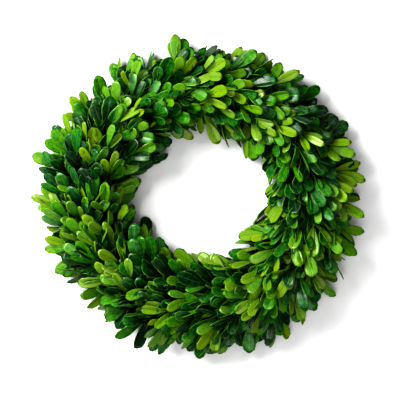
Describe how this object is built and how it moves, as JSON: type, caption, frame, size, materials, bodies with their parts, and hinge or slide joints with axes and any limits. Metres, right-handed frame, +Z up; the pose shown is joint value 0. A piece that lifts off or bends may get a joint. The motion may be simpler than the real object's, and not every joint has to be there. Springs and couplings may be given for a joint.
{
  "type": "boxwood wreath",
  "caption": "Round wreath of overlapping boxwood leaf bunches, tied along a double wire ring, lying flat on its back.",
  "frame": {"origin": "centre of the wreath's hole, on the surface that it lies on", "axes": "+Z up, away from the surface, through the hole; +Y towards the top of the wreath as it would hang; +X to its right"},
  "size_m": [0.3306, 0.3214, 0.0636],
  "materials": {
    "leaves": "satin leaves, dark green with yellow-green young ones",
    "ring_wire": "dark green lacquer",
    "tie_wire": "green enamel"
  },
  "bodies": {
    "root": {"frame": "ring_wire", "bunch_01": "leaves", "bunch_02": "leaves", "bunch_03": "leaves", "bunch_04": "leaves", "bunch_05": "leaves", "bunch_06": "leaves", "bunch_07": "leaves", "bunch_08": "leaves", "bunch_09": "leaves", "bunch_10": "leaves", "bunch_11": "leaves", "bunch_12": "leaves", "bunch_13": "leaves", "bunch_14": "leaves", "bunch_15": "leaves", "bunch_16": "leaves", "tie_01": "tie_wire", "tie_02": "tie_wire", "tie_03": "tie_wire", "tie_04": "tie_wire", "tie_05": "tie_wire", "tie_06": "tie_wire", "tie_07": "tie_wire", "tie_08": "tie_wire", "tie_09": "tie_wire", "tie_10": "tie_wire", "tie_11": "tie_wire", "tie_12": "tie_wire", "tie_13": "tie_wire", "tie_14": "tie_wire", "tie_15": "tie_wire", "tie_16": "tie_wire"}
  },
  "joints": []
}
